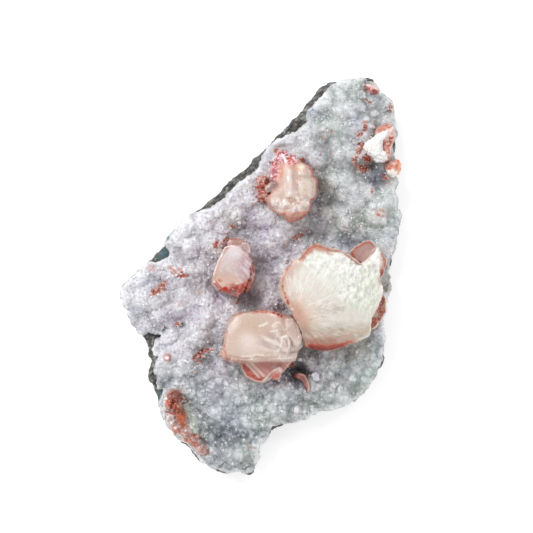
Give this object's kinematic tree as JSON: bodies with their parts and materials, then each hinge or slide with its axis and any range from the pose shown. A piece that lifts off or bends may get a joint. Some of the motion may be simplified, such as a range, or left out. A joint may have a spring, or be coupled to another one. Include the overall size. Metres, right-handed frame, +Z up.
{
  "type": "apophyllite mineral specimen",
  "caption": "Natural mineral specimen: pink-red apophyllite crystals on a grey-blue botryoidal chalcedony crust over a dark basalt slab, lying on its flat back.",
  "frame": {"origin": "middle of the plate's bounding box, on the plane that its flat back rests on", "axes": "+Z up out of the crystal-covered face, +Y along the plate's length towards its narrow end, +X across it"},
  "size_m": [0.0844, 0.1208, 0.0379],
  "materials": {
    "basalt": "rough, dark grey, finely pitted",
    "chalcedony": "sugary botryoidal crust, blue-grey, lightly sparkling",
    "cream_crystal": "pearly cream fibres with red-brown rims",
    "peach_crystal": "translucent peach, glassy to pearly",
    "pink_crystal": "pearly pink, red at the rims",
    "white_crystal": "white, fluffy, with an orange-red neighbour",
    "orange_crystal": "orange with white frosting",
    "red_crystal": "red-brown, glassy",
    "clear_crystal": "colourless, glassy"
  },
  "bodies": {
    "root": {"basalt_matrix": "basalt", "chalcedony_crust": "chalcedony", "fan_crystal": "cream_crystal", "block_crystal": "peach_crystal", "left_crystal": "peach_crystal", "upper_crystal_cluster": "pink_crystal", "white_knob_crystal": "white_crystal", "edge_crystal": "orange_crystal", "hollow_crystal": "red_crystal", "clear_crystal": "clear_crystal", "red_ridge_crystals": "red_crystal", "bead_crystal": "red_crystal", "crown_crystal": "red_crystal"}
  },
  "joints": []
}
